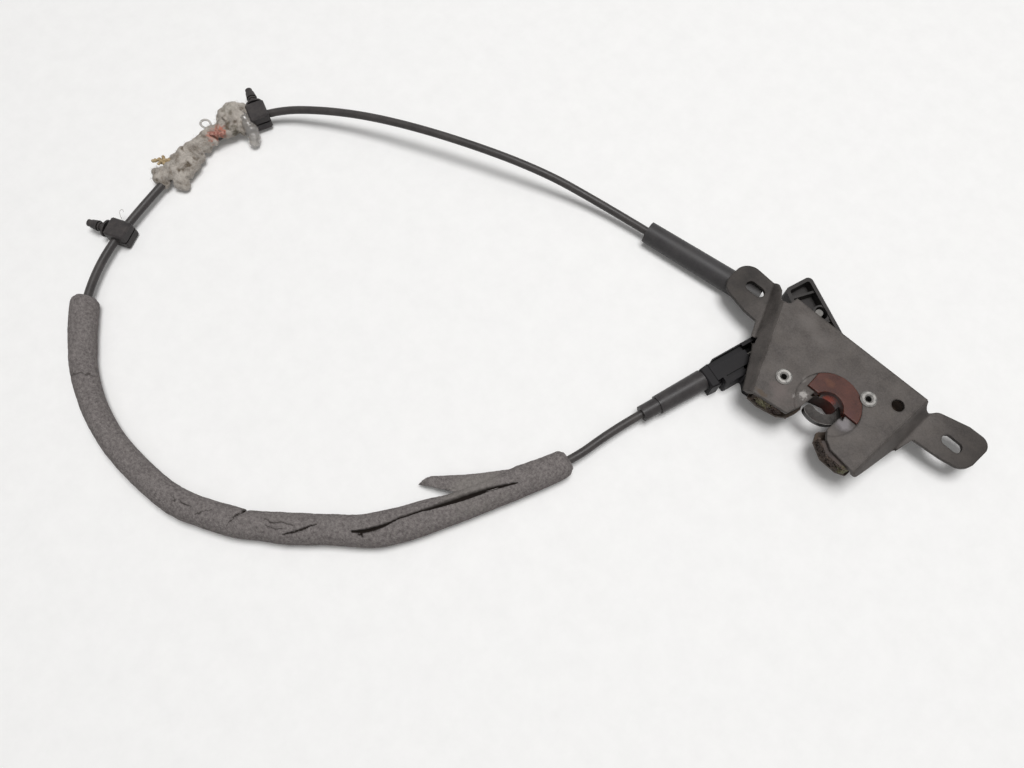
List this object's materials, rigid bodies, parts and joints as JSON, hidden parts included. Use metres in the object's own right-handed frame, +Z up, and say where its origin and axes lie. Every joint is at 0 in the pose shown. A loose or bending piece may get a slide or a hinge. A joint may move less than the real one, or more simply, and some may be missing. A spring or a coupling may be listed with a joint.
{
  "type": "seat backrest latch",
  "caption": "Seat backrest latch: folded steel bracket with slotted ears, hook and pawl closing a striker mouth, release lever and a Bowden cable with foam sleeve.",
  "frame": {"origin": "middle of the latch's own footprint, cable left out, on the surface it lies on", "axes": "+X along the latch from its left ear to its right ear, +Y from the striker mouth to the straight top edge, +Z up from the surface through the front plate"},
  "size_m": [0.4742, 0.3494, 0.0291],
  "materials": {
    "bracket_steel": "dull, worn",
    "plate_steel": "dull",
    "catch_steel": "greasy, glossy",
    "red_brown_plastic": "worn satin",
    "bright_steel": "dull zinc",
    "spring_steel": "satin",
    "wire_steel": "satin",
    "brown_plastic": "dirty",
    "yellow_plastic": "greasy",
    "black_plastic": "moulded satin",
    "conduit_plastic": "extruded satin",
    "grey_foam": "matt, cracked",
    "grey_felt": "fluffy, dirty"
  },
  "bodies": {
    "frame": {"mounting_bracket": "bracket_steel", "back_plate": "plate_steel", "catch_rivet": "bright_steel", "pawl_rivet": "bright_steel", "catch_washer": "plate_steel", "pawl_washer": "plate_steel", "catch_spring": "spring_steel", "pawl_spring": "spring_steel", "mouth_buffer": "red_brown_plastic", "jaw_liner": "brown_plastic", "pawl_stop": "yellow_plastic", "rear_housing": "black_plastic", "lever_retainer": "spring_steel", "end_fitting": "black_plastic", "near_ferrule": "black_plastic", "cable_conduit": "conduit_plastic", "foam_sleeve": "grey_foam", "cable_clip_1": "black_plastic", "cable_clip_2": "black_plastic", "felt_wrap": "grey_felt", "far_sleeve": "black_plastic"},
    "catch_body": {"catch": "catch_steel", "catch_jacket": "red_brown_plastic"},
    "pawl_body": {"pawl": "catch_steel", "pawl_pin": "bright_steel"},
    "lever_body": {"release_lever": "black_plastic"},
    "wire_body": {"release_wire": "wire_steel", "release_nipple": "bright_steel"},
    "far_wire_body": {"far_wire": "wire_steel", "far_nipple": "bright_steel"}
  },
  "joints": [
    {"name": "catch_pivot", "type": "hinge", "parent": "frame", "child": "catch_body", "pos_m": [0.0183, -0.0046, 0.0198], "axis": [0, 0, 1], "range_deg": [0, 42]},
    {"name": "pawl_pivot", "type": "hinge", "parent": "frame", "child": "pawl_body", "pos_m": [-0.0218, -0.0255, 0.0198], "axis": [0, 0, 1], "range_deg": [0, 18.2], "stiffness_Nm_per_rad": 0.02},
    {"name": "lever_pivot", "type": "hinge", "parent": "frame", "child": "lever_body", "pos_m": [0.0183, -0.0046, 0.0085], "axis": [0, 0, 1], "range_deg": [0, 9.2]},
    {"name": "wire_slide", "type": "slide", "parent": "frame", "child": "wire_body", "axis": [-0.2807, -0.9598, 0], "range_m": [0, 0.0093]},
    {"name": "far_wire_slide", "type": "slide", "parent": "frame", "child": "far_wire_body", "axis": [0.99, 0.1409, 0], "range_m": [0, 0.0093]}
  ],
  "couplings": [
    {"joint": "pawl_pivot", "follows": "catch_pivot", "ratio": 0.42857},
    {"joint": "lever_pivot", "follows": "catch_pivot", "ratio": 0.21429},
    {"joint": "wire_slide", "follows": "catch_pivot", "m_per_rad": 0.012458},
    {"joint": "far_wire_slide", "follows": "catch_pivot", "m_per_rad": 0.012458}
  ]
}
